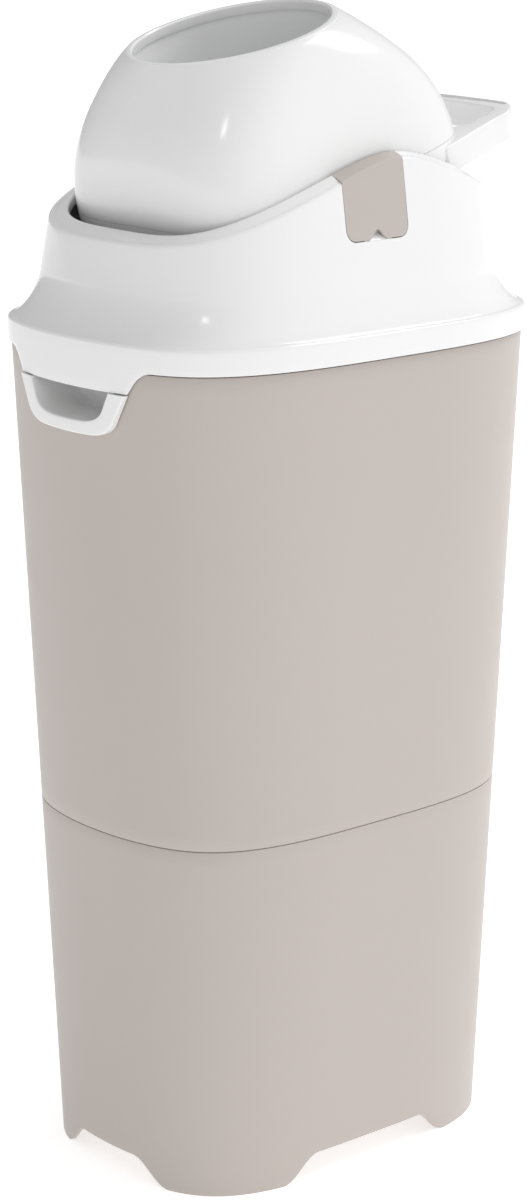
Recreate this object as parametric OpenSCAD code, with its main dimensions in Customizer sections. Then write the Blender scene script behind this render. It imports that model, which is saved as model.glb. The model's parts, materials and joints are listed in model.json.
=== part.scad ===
// Nappy bin with a flip-over drum, a sliding piston and a rear-hinged lid.
// Front is -Y, the drum turns about X, the floor is z = 0, millimetres.

/* [Bin body] */
// Width of the body at the floor
body_w_floor = 198.9; // [180:1:220]
// Width of the body at the lid line
body_w_top = 235.3; // [225:1:250]
// Depth of the body at the floor
body_d_floor = 269.7; // [250:1:285]
// Depth of the body at the lid line
body_d_top = 312.9; // [305:1:325]
// Height of the lid line above the floor
body_h = 530; // [480:5:600]
// Height of the seam between the base section and the upper body
seam_z = 233; // [200:1:280]
// Squareness of the rounded-rectangle plan
plan_n = 3.35; // [3:0.05:3.8]
// Wall of the two body sections
body_wall = 3; // [2.4:0.1:3.4]
// Height of the arches between the feet
arch_h = 17.5; // [12:0.5:20]
// Half length of the flat top of the side arches
arch_half_y = 43; // [30:1:50]
// Half length of the flat top of the front and back arches
arch_half_x = 25; // [15:1:30]
// Height of the spigot that joins the two sections
spigot_h = 16; // [12:1:24]

/* [Lid] */
// Overhang of the lid skirt beyond the body
lid_overhang = 1.9; // [1.6:0.1:2.4]
// Wall of the lid cover
lid_wall = 2.6; // [2.2:0.1:3]
// Height of the flange band of the lid
flange_h = 16; // [14:1:20]
// Height of the fillet above the flange
fillet_h = 26; // [20:1:30]
// Fullness of the fillet: 1 is hollow, 2 would be straight
fillet_shape = 1.35; // [1:0.05:1.6]
// Half width of the lid wall, 70 mm above the lid line
wall_a = 106; // [104:0.5:108]
// Half depth of the lid wall, 70 mm above the lid line
wall_b = 131; // [129:0.5:133]
// Inward lean of the lid wall per millimetre of height
wall_lean = 0.15; // [0.13:0.01:0.17]
// Height of the rim's crest above the lid line
rim_crest = 117; // [114:0.5:120]
// Place of the rim's crest behind the centre
rim_crest_y = 20; // [10:1:25]
// Slope of the rim's flanks
rim_slope = 0.36; // [0.3:0.01:0.38]
// Rise of the shoulder from the rim to the opening, at the sides
shoulder_rise = 2.5; // [1:0.5:3.5]
// Width of the tab over the finger recess
tab_w = 102; // [90:1:110]
// Drop of the tab below the skirt
tab_drop = 14; // [12:0.5:16]

/* [Drum] */
// Height of the pivot above the lid line
pivot_up = 100; // [98:0.5:102]
// Place of the pivot in front of the centre
pivot_front = 7.5; // [6:0.5:9]
// Forward tilt of the mouth at rest
drum_tilt = 14.5; // [13:0.5:16]
// Half width of the drum
drum_a = 88.5; // [87.5:0.5:89]
// Radius of the drum about its pivot
drum_r = 105; // [104:0.5:106]
// Distance of each mouth's rim from the pivot
mouth_h = 91; // [90:0.5:91.5]
// Radius of the mouth's rim crest
mouth_r = 62.75; // [60:0.25:63.5]
// Squareness of the drum's middle section
drum_n = 4.7; // [4.2:0.1:4.8]
// Wall of the drum shells
drum_wall = 2.6; // [2.2:0.1:3]
// Gap between the swinging drum and the lid
swing_gap = 0.6; // [0.5:0.1:1]
// Shift of the drum's middle towards the handle
drum_shift = 5; // [3:0.5:5.5]

/* [Piston] */
// Bore of the drum tube
tube_d = 127.2; // [126:0.2:127.6]
// Height of the piston
piston_h = 70; // [50:1:90]
// Radial clearance of the piston shell in the tube
piston_gap = 0.3; // [0.2:0.05:0.5]

/* [Handle] */
// Width across the handle's arms
handle_w = 160; // [150:1:162]
// Reach of the handle from the pivot
handle_reach = 158; // [150:1:160]
// Height of the handle's bar
handle_t = 17.8; // [14:0.1:18]
// Width of each arm
handle_arm = 15.5; // [12:0.5:18]
// Depth of the crossbar
handle_bar = 5.5; // [5:0.5:9]

/* [Side clips] */
// Width of each side clip
clip_w = 50; // [40:1:54]
// Height of the clip's lower edge above the lid line
clip_low = 70; // [66:1:80]
// Thickness of the clips
clip_t = 2; // [1.6:0.1:2.4]
// Shadow gap round the clips
clip_gap = 0.35; // [0.3:0.05:0.5]

/* [Axles and hinge] */
// Diameter of the drum's axle stubs
axle_d = 18; // [14:0.5:20]
// Diameter of the lid's hinge pin
pin_d = 4; // [3:0.5:5]
// Outer diameter of the hinge knuckles
knuckle_d = 12; // [10:0.5:12]
// Half width of the hinge notch
hinge_half = 42; // [36:1:46]
// Running clearance of the axles and the hinge pin
run_gap = 0.06; // [0.03:0.01:0.1]

/* [Hidden] */

taupe = "#c8beb8";
white = "#f2f2f2";
grey = "#a9adb0";
steel = "#8d9196";
rubber = "#3c3e40";

sides = 72;
drum_sides = 56;
seam_gap = 0.4;
lid_gap = 0.8;
neck_in = 2.6;
neck_h = 11;
neck_wall = 2.8;
shelf_z = body_h - 3;
shelf_w = 9;
ring_in = 5;
ring_w = 4.5;
ring_wall = 5.5;
skirt_t = 1.5;
floor_z = 19;
floor_t = 3;
spigot_gap = 0.2;
spigot_t = 2.4;
arch_run = 28;
skirt_a = body_w_top / 2 + lid_overhang;
skirt_b = body_d_top / 2 + lid_overhang;
flange_z = body_h + flange_h;
fillet_z = flange_z + fillet_h;
wall_ref_z = body_h + 70;
pivot_y = -pivot_front;
pivot_z = body_h + pivot_up;
lip_r = mouth_r + 1.75;
lip_in = mouth_r - 0.95;
swing_r = sqrt(pow(mouth_h, 2) + pow(lip_r, 2));
open_a = drum_a + swing_gap + 0.3;
open_b = swing_r + swing_gap;
open_n = 4.7;
collar_h = 7;
collar_t = 2.2;
hinge_y = skirt_b - 9;
hinge_z = body_h - 8;
tube_r = tube_d / 2;
tube_t = 2.2;
tube_end = mouth_h - 6.6;
axle_r = axle_d / 2;
axle_flange = 11.5;
axle_bore = 5;
screw_half = 15;
screw_r = 1.4;
screw_head_r = 2.8;
handle_seat = 85.5;
handle_screw_end = 116;
weight_r = 44;
weight_t = 14;
weight_bore = 10;
ring_low = 7;
post_in = drum_a + 2.1;
post_top = pivot_z + 6;
post_half = 14;
post_gap = 1.6;
post_out = wall_a - wall_lean * (post_top - wall_ref_z) - clip_t - post_gap;
cup_t = 2;
cup_in = drum_a + 0.6;
well_z = body_h + 60;
well_low = body_h + 18;
well_in = 1;
well_wall = 2.2;
well_t = 2.4;
well_fit = 0.8;
boss_r = 3;
boss_x = 94.6;
boss_spots = [
    [20, pivot_y - open_b - 6.2], [44, pivot_y + open_b + 9], [boss_x, 52], [boss_x, -66]
];
clip_y = pivot_y + 3;
clip_corner = 7;
clip_z = body_h + clip_low;
grip_top = body_h - tab_drop;
pocket_top = grip_top + 5;
pocket_half = tab_w / 2 - 14;
pocket_low_half = pocket_half - 5.5;
pocket_low = grip_top - 21;
pocket_wall = 2.4;
pocket_depth = 27;
post_spots = [[72, 74 + drum_shift * 0.8], [72, -74 + drum_shift * 0.8]];
post_r = 5;
post_h = 29;
handle_lift = 2;
handle_drop = 2.9;
handle_round = 22;
handle_round_in = 8;
handle_root = 84;
handle_screw_x = 72;
handle_screw_u = -12;
piston_r = tube_r - piston_gap;
piston_low = -tube_end + 0.1;
piston_wall = 2.5;
ring_h = 4;

// Point of a superellipse at polar angle th
function plan_point(a, b, n, th) =
    let (r = pow(pow(abs(cos(th)) / a, n) + pow(abs(sin(th)) / b, n), -1 / n))
    [r * cos(th), r * sin(th)];

// Half width and half depth of the tapered body at height z
function half_a(z) = (body_w_floor + (body_w_top - body_w_floor) * z / body_h) / 2;
function half_b(z) = (body_d_floor + (body_d_top - body_d_floor) * z / body_h) / 2;

// Level ring of points about the centre
function level_ring(a, b, n, z, count, yc = 0) =
    [for (i = [0:count - 1]) let (p = plan_point(a, b, n, 360 * i / count)) [p[0], p[1] + yc, z]];

// Ring on the body, moved in from its outer face
function body_ring(z, inset, count = sides) =
    level_ring(half_a(z) - inset, half_b(z) - inset, plan_n, z, count);

// Closed solid through rings of equal length: capped at both ends, or joined into a loop
module skin(rings, loop = false) {
    m = len(rings[0]);
    k = len(rings);
    spans = loop ? k : k - 1;
    walls = [for (j = [0:spans - 1], i = [0:m - 1])
        let (lo = j * m, hi = ((j + 1) % k) * m, q = (i + 1) % m)
        each [[lo + i, hi + i, hi + q], [lo + i, hi + q, lo + q]]];
    caps = loop ? [] : [[for (i = [0:m - 1]) i], [for (i = [m - 1:-1:0]) (k - 1) * m + i]];
    polyhedron([for (r = rings) each r], concat(walls, caps), convexity = 10);
}

// Height of the rim line above the floor at depth y
function rim_z(y) =
    body_h + rim_crest + 9 - sqrt(81 + pow(rim_slope * (y - rim_crest_y), 2));

// Height of the shoulder's inner edge at depth y
function brow_z(y) = rim_z(y) + shoulder_rise * (1 - pow((y - pivot_y) / open_b, 2));

// Half sizes of the leaning lid wall at height z
function lid_a(z) = wall_a - wall_lean * (z - wall_ref_z);
function lid_b(z) = wall_b - wall_lean * (z - wall_ref_z);

// Ring on the lid wall that follows the rim line, dropped and moved in
function rim_ring(drop, inset) = [for (i = [0:sides - 1])
    let (th = 360 * i / sides,
        first = plan_point(wall_a, wall_b, plan_n, th),
        z = rim_z(first[1]) - drop,
        p = plan_point(lid_a(z) - inset, lid_b(z) - inset, plan_n, th))
    [p[0], p[1], z]];

// Ring round the drum opening that follows the brow line
function brow_ring(drop, grow) = [for (i = [0:sides - 1])
    let (th = 360 * i / sides,
        first = plan_point(open_a, open_b, open_n, th),
        z0 = brow_z(first[1] + pivot_y),
        reach = sqrt(pow(open_b, 2) - pow(z0 - pivot_z, 2)),
        p = plan_point(open_a + grow, reach + grow, open_n, th))
    [p[0], p[1] + pivot_y, z0 - drop]];

// Level ring on the lid between the flange edge (0) and the wall (90)
function fillet_ring(turn, inset) =
    let (z = flange_z + fillet_h * (1 - pow(cos(turn), fillet_shape)),
        out = 1 - pow(sin(turn), fillet_shape),
        a = lid_a(fillet_z) + (skirt_a - 2.2 - lid_a(fillet_z)) * out,
        b = lid_b(fillet_z) + (skirt_b - 2.2 - lid_b(fillet_z)) * out)
    level_ring(a - inset * sin(turn), b - inset * sin(turn), plan_n, z - inset * cos(turn), sides);

// Arch outline with S-curved ends, flat half length and height
function arch_outline(half, high) = concat(
    [for (i = [0:8]) [half + arch_run * (1 - i / 8), high * (1 - cos(180 * i / 8)) / 2]],
    [for (i = [8:-1:0]) [-half - arch_run * (1 - i / 8), high * (1 - cos(180 * i / 8)) / 2]],
    [[-half - arch_run, -5], [half + arch_run, -5]]);

// Trapezium with rounded lower corners, as a list of points
function cup_outline(top_half, low_half, top, low, r) = concat(
    [[-top_half, top]],
    [for (i = [0:5]) [-low_half + r - r * cos(18 * i), low + r - r * sin(18 * i)]],
    [for (i = [5:-1:0]) [low_half - r + r * cos(18 * i), low + r - r * sin(18 * i)]],
    [[top_half, top]]);

// Prism along Y from an outline in X and Z
module front_prism(points, y0, y1) {
    translate([0, y1, 0]) rotate([90, 0, 0]) linear_extrude(y1 - y0) polygon(points);
}

// Prism along X from an outline in Y and Z
module side_prism(points, x0, x1) {
    translate([x0, 0, 0]) rotate([90, 0, 90]) linear_extrude(x1 - x0) polygon(points);
}

// Cylinder along X
module x_rod(r, x0, x1, y, z, fn = 48) {
    translate([x0, y, z]) rotate([0, 90, 0]) cylinder(r = r, h = x1 - x0, $fn = fn);
}

// Places children in the drum's own frame: Z runs up the tube, Y to the handle
module in_drum() {
    translate([0, pivot_y, pivot_z]) rotate([drum_tilt, 0, 0]) children();
}

module mirrored_x() {
    children();
    mirror([1, 0, 0]) children();
}

/* ---- bin body ---- */

module base_section() {
    color(taupe)
    difference() {
        skin([
            body_ring(floor_z, body_wall),
            body_ring(0, body_wall),
            body_ring(0, 0),
            body_ring(seam_z - seam_gap / 2, 0),
            body_ring(seam_z - seam_gap / 2, body_wall + spigot_gap),
            body_ring(seam_z + spigot_h, body_wall + spigot_gap),
            body_ring(seam_z + spigot_h, body_wall + spigot_gap + spigot_t),
            body_ring(seam_z - 18, body_wall + spigot_gap + spigot_t),
            body_ring(seam_z - 26, body_wall),
            body_ring(floor_z + floor_t, body_wall)
        ]);
        side_prism(arch_outline(arch_half_y, arch_h), -body_w_floor, body_w_floor);
        front_prism(arch_outline(arch_half_x, arch_h), -body_d_floor, body_d_floor);
    }
}

function pocket_outline(grow) = cup_outline(pocket_half + grow, pocket_low_half + grow,
    pocket_top + grow, pocket_low - grow, 8 + grow);

module upper_body() {
    color(taupe)
    difference() {
        union() {
            difference() {
                skin([
                    body_ring(seam_z + seam_gap / 2, body_wall),
                    body_ring(seam_z + seam_gap / 2, 0),
                    body_ring(body_h - lid_gap, 0),
                    body_ring(body_h - lid_gap, neck_in),
                    body_ring(body_h + neck_h, neck_in),
                    body_ring(body_h + neck_h, neck_in + neck_wall),
                    body_ring(shelf_z, neck_in + neck_wall),
                    body_ring(shelf_z, neck_in + neck_wall + shelf_w),
                    body_ring(shelf_z - 3, neck_in + neck_wall + shelf_w),
                    body_ring(shelf_z - 14, body_wall)
                ], loop = true);
                front_prism(pocket_outline(pocket_wall + 0.3), -body_d_top, -body_d_top / 4);
                hinge_notch();
            }
            hinge_pocket();
        }
        x_rod(pin_d / 2, -hinge_half - 5.5, hinge_half + 5.5, hinge_y, hinge_z);
    }
}

// Room for the lid's knuckles, open to the back and the top
module hinge_notch() {
    translate([-hinge_half, hinge_y - 10, hinge_z - 10.5])
        cube([2 * hinge_half, 30, neck_h + 30]);
}

// Pocket behind the hinge notch, with the centre knuckle and the pin bosses
module hinge_pocket() {
    back_y = hinge_y - 13;
    low_z = hinge_z - 13.5;
    high_z = body_h + neck_h;
    difference() {
        union() {
            translate([-hinge_half - 3, back_y, low_z])
                cube([2 * hinge_half + 6, 14, high_z - low_z]);
            mirrored_x() x_rod(4.5, hinge_half + 1, hinge_half + 7, hinge_y, hinge_z);
        }
        hinge_notch();
    }
    x_rod(knuckle_d / 2, -13, 13, hinge_y, hinge_z);
    translate([-13, hinge_y - 4, hinge_z - 11]) cube([26, 7, 11]);
}

module grip_frame() {
    front = function (x) -skirt_b * pow(1 - pow(abs(x) / skirt_a, plan_n), 1 / plan_n);
    behind = function (x, z) -half_b(z) * pow(1 - pow(abs(x) / half_a(z), plan_n), 1 / plan_n);
    top = grip_top - 0.6;
    low = pocket_low - 10;
    half = tab_w / 2;
    color(white)
    difference() {
        union() {
            intersection() {
                skin([for (x = [-half - 4:(half + 4) / 8:half + 4.1])
                    [[x, front(x), low - 2], [x, behind(x, low - 2) - 0.15, low - 2],
                    [x, behind(x, top) - 0.15, top], [x, front(x), top]]]);
                front_prism(cup_outline(half - 0.5, half - 9, top + 5, low, 14), -body_d_top, 0);
            }
            front_prism(pocket_outline(pocket_wall), -half_b(low) + 6,
                        -half_b(low) + pocket_depth + pocket_wall);
            intersection() {
                front_prism(pocket_outline(pocket_wall), -half_b(low) - 4, -half_b(low) + 8);
                translate([-half, -body_d_top, 0]) cube([2 * half, body_d_top, top]);
            }
        }
        front_prism(pocket_outline(0), -body_d_top, -half_b(low) + pocket_depth);
    }
}

module hinge_pin() {
    color(steel) x_rod(pin_d / 2 - run_gap, -hinge_half - 5, hinge_half + 5, hinge_y, hinge_z);
}

module bag_ring() {
    hoop = neck_in + neck_wall + ring_in;
    low = shelf_z + 0.3;
    color(grey)
    difference() {
        skin([
            body_ring(low, hoop + ring_w, 60),
            body_ring(low, hoop, 60),
            body_ring(low + 2.2, hoop, 60),
            body_ring(low + 2.2, hoop + ring_w - 2.2, 60),
            body_ring(low + ring_wall, hoop + ring_w - 2.2, 60),
            body_ring(low + ring_wall, hoop + ring_w, 60)
        ], loop = true);
        translate([-hinge_half - 3.6, hinge_y - 13.6, low - 1])
            cube([2 * hinge_half + 7.2, 30, 20]);
    }
}

/* ---- lid ---- */

// Outline of everything that stays of the skirt: the band above its edge, and the tab
function skirt_keep() = concat(
    [[-200, body_h], [-200, 900], [200, 900], [200, body_h]],
    [for (i = [0:6]) [tab_w / 2 + 6 + 10 * (1 - i / 6), body_h - 5.5 * (1 - cos(90 * i / 6))]],
    [[tab_w / 2, body_h - tab_drop], [-tab_w / 2, body_h - tab_drop]],
    [for (i = [6:-1:0]) [-tab_w / 2 - 6 - 10 * (1 - i / 6), body_h - 5.5 * (1 - cos(90 * i / 6))]]);

// Outline of a side clip in Y and Z, grown by its shadow gap where the lid is cut for it
function clip_outline(grow) =
    [for (p = cup_outline(clip_w / 2 + grow, clip_w / 2 - 0.5 + grow, pivot_z + 90,
        clip_z - grow, clip_corner + grow)) [p[0] + clip_y, p[1]]];

module lid_cover() {
    color(white)
    difference() {
        union() {
            difference() {
                skin([
                    level_ring(skirt_a, skirt_b, plan_n, body_h - tab_drop - 4, sides),
                    level_ring(skirt_a, skirt_b, plan_n, flange_z - 2.4, sides),
                    level_ring(skirt_a - 0.7, skirt_b - 0.7, plan_n, flange_z - 0.7, sides),
                    for (turn = [0:18:90]) fillet_ring(turn, 0),
                    rim_ring(2.4, 0),
                    rim_ring(0.7, 0.7),
                    rim_ring(0, 2.4),
                    brow_ring(0, 2),
                    brow_ring(0.6, 0.6),
                    brow_ring(2, 0),
                    brow_ring(collar_h, 0),
                    brow_ring(collar_h, collar_t),
                    brow_ring(lid_wall + 0.6, collar_t),
                    rim_ring(lid_wall + 0.4, lid_wall + 0.6),
                    for (turn = [90:-30:30]) fillet_ring(turn, lid_wall),
                    body_ring(flange_z - lid_wall, neck_in + neck_wall + 1.2),
                    level_ring(skirt_a - skirt_t, skirt_b - skirt_t, plan_n, flange_z - lid_wall, sides),
                    level_ring(skirt_a - skirt_t, skirt_b - skirt_t, plan_n, body_h - tab_drop - 4, sides)
                ], loop = true);
                difference() {
                    translate([-200, -200, body_h - 100]) cube([400, 400, 101]);
                    front_prism(skirt_keep(), -300, -skirt_b / 2);
                    translate([-200, -skirt_b / 2 - 1, body_h]) cube([400, 500, 50]);
                }
            }
            mirrored_x() hinge_arm();
            well_bosses();
        }
        mirrored_x() side_prism(clip_outline(clip_gap), open_a - 6, skirt_a + 5);
        x_rod(pin_d / 2, -hinge_half, hinge_half, hinge_y, hinge_z);
    }
}

// Knuckle and arm of the lid at the hinge
module hinge_arm() {
    x_rod(knuckle_d / 2, 13.6, hinge_half - 0.6, hinge_y, hinge_z);
    translate([13.6, hinge_y - 1.5, hinge_z])
        cube([hinge_half - 14.2, 7.6, flange_z - hinge_z - 1.5]);
}

// Posts under the lid's shoulder that take the screws of the well
module well_bosses() {
    for (spot = boss_spots, side = [-1, 1])
        translate([side * spot[0], spot[1], well_z + 0.2])
            difference() {
                cylinder(r = boss_r, h = rim_z(spot[1]) - well_z - 3, $fn = 32);
                translate([0, 0, -1]) cylinder(r = 1.4, h = 9, $fn = 24);
            }
}

module lid_well() {
    flange_a = lid_a(well_z) - lid_wall - well_fit;
    flange_b = lid_b(well_z) - lid_wall - well_fit;
    near = well_in;
    far = well_in + well_wall;
    color(grey)
    difference() {
        union() {
            skin([
                level_ring(open_a + far, open_b + far, open_n, well_low, sides, pivot_y),
                level_ring(open_a + far, open_b + far, open_n, well_z - well_t, sides, pivot_y),
                level_ring(flange_a, flange_b, plan_n, well_z - well_t, sides),
                level_ring(flange_a, flange_b, plan_n, well_z, sides),
                level_ring(open_a + near, open_b + near, open_n, well_z, sides, pivot_y),
                level_ring(open_a + near, open_b + near, open_n, well_low, sides, pivot_y)
            ], loop = true);
            mirrored_x() bearing_post();
        }
        for (spot = boss_spots, side = [-1, 1])
            translate([side * spot[0], spot[1], well_z - 4]) cylinder(r = 1.7, h = 6, $fn = 24);
    }
}

module bearing_post() {
    seat = axle_r + cup_t + 0.1;
    difference() {
        translate([post_in, pivot_y - post_half, well_z - 1])
            cube([post_out - post_in, 2 * post_half, post_top - well_z + 1]);
        x_rod(seat, post_in - 1, post_out + 1, pivot_y, pivot_z);
        translate([post_in - 1, pivot_y - seat, pivot_z])
            cube([post_out - post_in + 2, 2 * seat, 20]);
    }
}

module bearing_cup() {
    color(steel)
    difference() {
        union() {
            x_rod(axle_r + cup_t, cup_in, post_out, pivot_y, pivot_z);
            translate([cup_in, pivot_y - axle_r - cup_t, pivot_z])
                cube([post_out - cup_in, 2 * (axle_r + cup_t), post_top - pivot_z]);
        }
        x_rod(axle_r + run_gap, cup_in - 1, post_out + 1, pivot_y, pivot_z);
        translate([cup_in - 1, pivot_y - axle_r - run_gap, pivot_z])
            cube([post_out - cup_in + 2, 2 * (axle_r + run_gap), 20]);
    }
}

module lid_gasket() {
    low = body_h + neck_h + 0.3;
    top = flange_z - lid_wall - 0.1;
    color(rubber)
    difference() {
        skin([
            body_ring(low, neck_in + neck_wall - 0.2, 60),
            body_ring(low, neck_in + 0.2, 60),
            body_ring(top, neck_in + 0.2, 60),
            body_ring(top, neck_in + neck_wall - 0.2, 60)
        ], loop = true);
        translate([-hinge_half - 4, hinge_y - 15, low - 1]) cube([2 * hinge_half + 8, 30, 10]);
    }
}

module drum_wiper() {
    level = well_z - pivot_z;
    reach = sqrt(pow(open_b, 2) - pow(level, 2)) + 0.4;
    color(rubber)
    difference() {
        skin([
            level_ring(open_a, reach, open_n, well_z + 0.1, sides, pivot_y),
            level_ring(open_a + 4, open_b + 5, open_n, well_z + 0.1, sides, pivot_y),
            level_ring(open_a + 4, open_b + 5, open_n, well_z + 2.6, sides, pivot_y),
            level_ring(open_a, reach, open_n, well_z + 2.6, sides, pivot_y)
        ], loop = true);
        mirrored_x() translate([post_in - 0.4, pivot_y - post_half - 0.5, well_z - 1])
            cube([20, 2 * post_half + 1, 10]);
        for (spot = boss_spots, side = [-1, 1])
            translate([side * spot[0], spot[1], well_z - 1]) cylinder(r = boss_r + 0.6, h = 6, $fn = 32);
    }
}

module well_screws() {
    color(steel)
    for (spot = boss_spots, side = [-1, 1])
        translate([side * spot[0], spot[1], well_z - well_t - 2]) {
            cylinder(r = screw_head_r, h = 1.9, $fn = 32);
            cylinder(r = 1.3, h = 12, $fn = 24);
        }
}

// Section of a side clip at depth y: a plate in the lid's wall with a flange over its top,
// which closes the slot above the axle stub
function clip_section(y) =
    let (z = rim_z(y), top = brow_z(y), x = lid_a(z), low = clip_z - 2, reach = open_a + 0.6)
    [[lid_a(low) - clip_t, y, low], [x - 1 - clip_t, y, z - clip_t],
    [reach, y, top - clip_t], [reach, y, top], [x - 1, y, z], [x, y, z - 1], [lid_a(low), y, low]];

module side_clip() {
    half = clip_w / 2 + 1;
    color(taupe)
    difference() {
        intersection() {
            skin([for (i = [0:12]) clip_section(clip_y + half * (i / 6 - 1))]);
            side_prism(clip_outline(0), open_a - 6, skirt_a + 5);
        }
        // fingernail notch
        x_rod(5, post_out - 2, post_out + 40, clip_y, clip_z + 0.5);
    }
}

/* ---- drum, in its own frame ---- */

// Depth of the drum's section at height u: an arc about the pivot, then a tangent to the lip
function drum_b(u) =
    let (lip_turn = atan(lip_r / mouth_h), turn = lip_turn + acos(drum_r / swing_r),
        ut = drum_r * cos(turn), vt = drum_r * sin(turn))
    u < ut ? sqrt(drum_r * drum_r - u * u) : vt + (lip_r - vt) * (u - ut) / (mouth_h - ut);
function drum_half(u) = lip_r + (drum_a - lip_r) * pow(1 - pow(u / mouth_h, 1.7), 1 / 1.7);
function drum_square(u) = 2 + (drum_n - 2) * (1 - pow(u / mouth_h, 1.8));
function drum_mid(u) = drum_shift * (1 - pow(u / mouth_h, 1.3));
function drum_ring(u, inset) =
    level_ring(drum_half(u) - inset, drum_b(u) - inset, drum_square(u), u, drum_sides, drum_mid(u));
function round_ring(r, u) = level_ring(r, r, 2, u, drum_sides);

// One half of the drum, from the middle plane up to its mouth
module half_drum() {
    socket = tube_r + tube_t + 0.2;
    steps = [0.15, 15, 30, 42, 54, 64, 73, 81, 87];
    difference() {
        union() {
            skin([
                for (u = steps) drum_ring(u, 0),
                drum_ring(mouth_h - 1.2, 0),
                round_ring(mouth_r + 0.9, mouth_h - 0.2),
                round_ring(mouth_r, mouth_h),
                round_ring(lip_in, mouth_h - 1),
                round_ring(lip_in, tube_end + 0.1),
                round_ring(socket, tube_end + 0.1),
                round_ring(socket, tube_end - 8),
                for (u = [73, 54, 30, 15, 0.15]) drum_ring(u, drum_wall)
            ], loop = true);
            for (spot = post_spots, side = [-1, 1])
                translate([side * spot[0], spot[1], 0.15]) cylinder(r = post_r, h = post_h, $fn = 32);
        }
        x_rod(axle_r + 0.1, drum_a - 12, drum_a + 5, 0, 0);
        x_rod(axle_r + 0.1, -drum_a - 5, -drum_a + 12, 0, 0);
        for (spot = post_spots, side = [-1, 1])
            translate([side * spot[0], spot[1], -1]) cylinder(r = 1.5, h = 20, $fn = 24);
    }
}

module drum_upper_shell() {
    color(white) in_drum() half_drum();
}

module drum_lower_shell() {
    color(white) in_drum()
        difference() {
            mirror([0, 0, 1]) half_drum();
            for (side = [-1, 1]) handle_hole(side, 1.7, 78, 110);
        }
}

// Round hole or rod along the handle's screws
module handle_hole(side, r, v0, v1) {
    translate([side * handle_screw_x, v0, handle_screw_u])
        rotate([-90, 0, 0]) cylinder(r = r, h = v1 - v0, $fn = 24);
}

module drum_tube() {
    color(grey) in_drum()
        difference() {
            translate([0, 0, -tube_end]) cylinder(r = tube_r + tube_t, h = 2 * tube_end, $fn = 96);
            translate([0, 0, -mouth_h]) cylinder(r = tube_r, h = 2 * mouth_h, $fn = 96);
        }
}

module axle() {
    color(steel) translate([0, pivot_y, pivot_z]) rotate([0, 90, 0])
        rotate_extrude($fn = 64)
            polygon([
                [axle_bore, drum_a - 9], [axle_flange, drum_a - 9],
                [axle_flange, drum_a - drum_wall - 0.8],
                [axle_r, drum_a - drum_wall - 0.8],
                [axle_r, post_out - 1.2], [axle_r - 1, post_out - 0.2], [axle_bore, post_out - 0.2]
            ]);
}

module drum_screws() {
    color(steel) in_drum()
        for (spot = post_spots, side = [-1, 1])
            translate([side * spot[0], spot[1], -screw_half])
                cylinder(r = screw_r, h = 2 * screw_half, $fn = 24);
}

// Rounded U outline of the handle in plan: half width w, reach v, corner radius r
function bail_outline(w, v, r, bow, back) = concat(
    [[-w, back]],
    [for (i = [0:6]) [-w + r - r * cos(15 * i), v - r + r * sin(15 * i)]],
    [for (i = [1:5]) let (x = (w - r) * (i / 3 - 1)) [x, v + bow * (1 - pow(x / (w - r), 2))]],
    [for (i = [6:-1:0]) [w - r + r * cos(15 * i), v - r + r * sin(15 * i)]],
    [[w, back]]);

module handle() {
    wide = handle_w / 2;
    far = handle_reach - 1;
    color(white) in_drum()
    difference() {
        translate([0, handle_root, -handle_drop])
            rotate([handle_lift, 0, 0]) translate([0, -handle_root, -handle_t])
                difference() {
                    linear_extrude(handle_t)
                        polygon(bail_outline(wide, far, handle_round, 1, 44));
                    translate([0, 0, -1]) linear_extrude(handle_t + 2)
                        polygon(bail_outline(wide - handle_arm, far - handle_bar, handle_round_in, 1, 30));
                }
        mirror([0, 0, 1]) skin([for (u = [-8, 0, 8, 16, 24, 32])
            [for (p = drum_ring(abs(u), -0.15)) [p[0], p[1], u]]]);
        for (side = [-1, 1])
            handle_hole(side, screw_r + 0.1, handle_seat - 5.5, handle_screw_end + 2);
    }
}

module handle_screws() {
    color(steel) in_drum()
        for (side = [-1, 1]) {
            handle_hole(side, screw_head_r, handle_seat - 2, handle_seat);
            handle_hole(side, screw_r, handle_seat - 0.5, handle_screw_end);
        }
}

/* ---- piston, at the tube's lower end ---- */

module in_piston() {
    in_drum() translate([0, 0, piston_low]) children();
}

module piston_shell() {
    color(grey) in_piston()
    rotate_extrude($fn = 96)
        polygon([
            [0, 3], [piston_r - 12, 0], [piston_r - 2, 0], [piston_r, 2],
            [piston_r, ring_low], [piston_r - 2, ring_low],
            [piston_r - 2, ring_low + ring_h], [piston_r, ring_low + ring_h],
            [piston_r, piston_h - 14 - ring_h], [piston_r - 2, piston_h - 14 - ring_h],
            [piston_r - 2, piston_h - 14], [piston_r, piston_h - 14], [piston_r, piston_h - 8],
            [piston_r - piston_wall - 2, piston_h - 8], [piston_r - piston_wall - 2, 6], [0, 6]
        ]);
}

module piston_cap() {
    seat = piston_r - piston_wall - 2.2;
    color(white) in_piston()
    rotate_extrude($fn = 96)
        polygon([
            [0, piston_h - 3], [piston_r - 12, piston_h], [piston_r - 2, piston_h],
            [piston_r, piston_h - 2], [piston_r, piston_h - 7.9], [seat, piston_h - 7.9],
            [seat, piston_h - 16], [seat - 2.4, piston_h - 16], [seat - 2.4, piston_h - 6], [0, piston_h - 6]
        ]);
}

module piston_weight() {
    color(steel) in_piston()
        translate([0, 0, 6.05])
            difference() {
                cylinder(r = weight_r, h = weight_t, $fn = 72);
                translate([0, 0, -1]) cylinder(r = weight_bore, h = weight_t + 2, $fn = 48);
            }
}

module piston_ring(z) {
    color(rubber) in_piston()
        translate([0, 0, z + 0.1])
            difference() {
                cylinder(r = tube_r - 0.1, h = ring_h - 0.2, $fn = 96);
                translate([0, 0, -1]) cylinder(r = piston_r - 1.9, h = ring_h + 2, $fn = 96);
            }
}

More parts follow.
